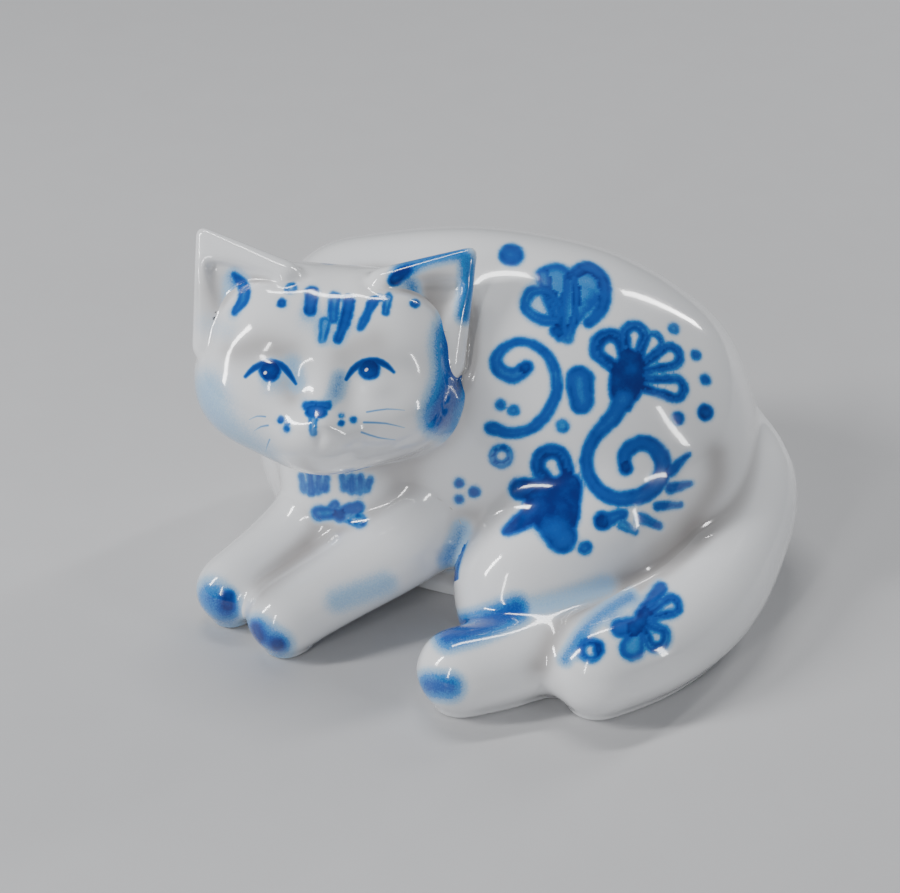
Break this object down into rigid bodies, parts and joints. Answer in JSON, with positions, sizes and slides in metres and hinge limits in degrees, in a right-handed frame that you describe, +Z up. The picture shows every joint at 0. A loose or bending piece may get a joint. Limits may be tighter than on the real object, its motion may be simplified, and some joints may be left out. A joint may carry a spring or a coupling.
{
  "type": "ceramic cat figurine",
  "caption": "Lying cat figurine of white glazed porcelain with cobalt-blue flower decoration, hollow cast, with a flat underside.",
  "frame": {"origin": "on the table, under the middle of the figurine's bounding box", "axes": "+X from the head end to the rump along the length, +Y from the paws to the back, +Z up"},
  "size_m": [0.1519, 0.1237, 0.0983],
  "materials": {
    "glazed_porcelain": "clear gloss glaze over white body and cobalt-blue brushwork",
    "fired_slip": "matt unglazed"
  },
  "bodies": {
    "root": {"body_casting": "glazed_porcelain", "head_casting": "glazed_porcelain", "left_ear": "glazed_porcelain", "right_ear": "glazed_porcelain", "left_foreleg": "glazed_porcelain", "right_foreleg": "glazed_porcelain", "left_hind_leg": "glazed_porcelain", "tail": "glazed_porcelain", "neck_slip": "fired_slip", "left_ear_slip": "fired_slip", "right_ear_slip": "fired_slip", "left_foreleg_slip": "fired_slip", "right_foreleg_slip": "fired_slip", "left_hind_leg_slip": "fired_slip", "tail_slip": "fired_slip"}
  },
  "joints": []
}
